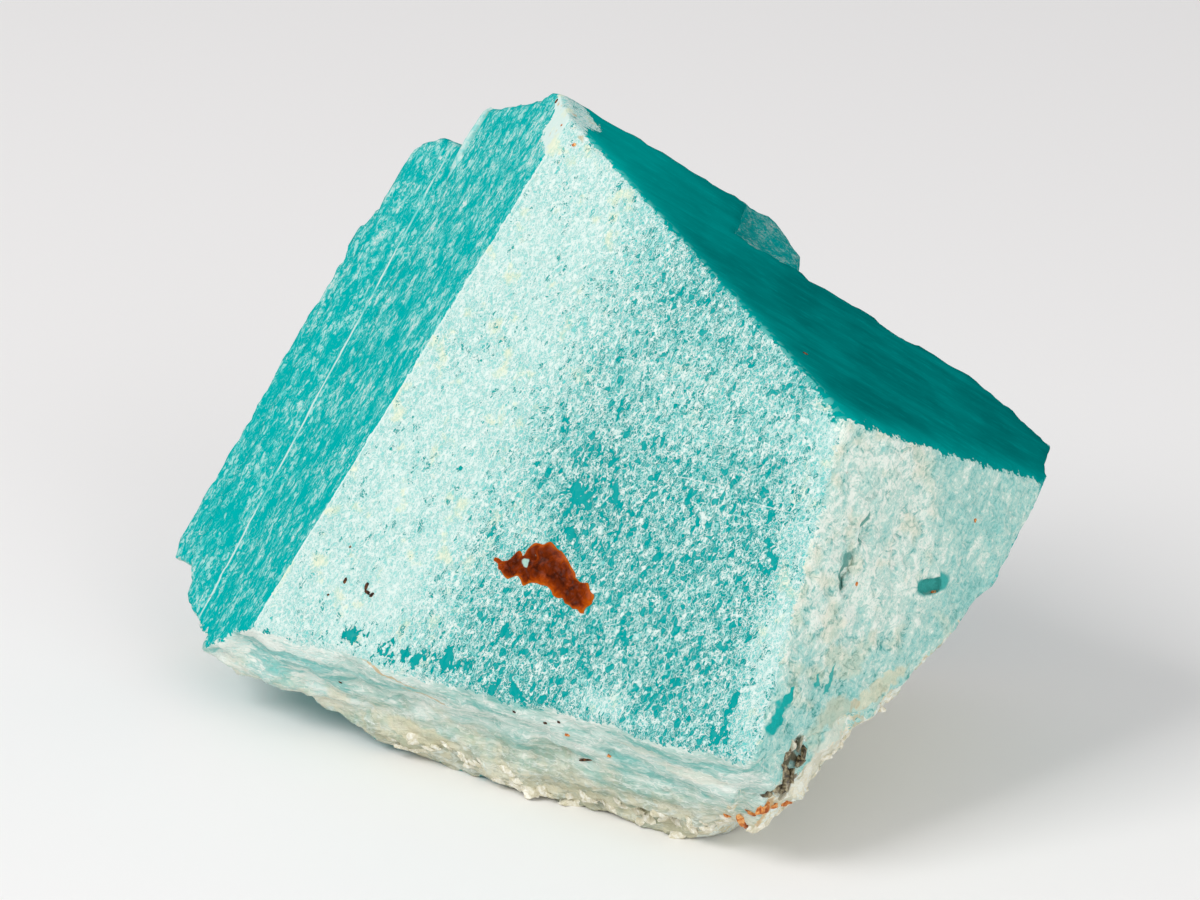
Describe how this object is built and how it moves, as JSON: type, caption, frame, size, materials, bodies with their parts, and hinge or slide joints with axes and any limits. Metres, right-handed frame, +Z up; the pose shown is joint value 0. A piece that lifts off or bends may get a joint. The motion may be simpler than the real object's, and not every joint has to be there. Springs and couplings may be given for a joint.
{
  "type": "rough amazonite",
  "caption": "Rough amazonite: a stubby teal feldspar crystal with flat faces, a pale crust on its front, thin plates grown on one side and a broken base.",
  "frame": {"origin": "middle of the bounding box's bottom, in the plane of the flat foot the crystal rests on", "axes": "+X to the viewer's right in the picture's view and along the longest extent, +Y away from the viewer, +Z up from the foot"},
  "size_m": [0.0444, 0.036, 0.0314],
  "materials": {
    "stone": "teal feldspar with a pale mottled crust, satin to matt"
  },
  "bodies": {
    "root": {"amazonite_crystal": "stone"}
  },
  "joints": []
}
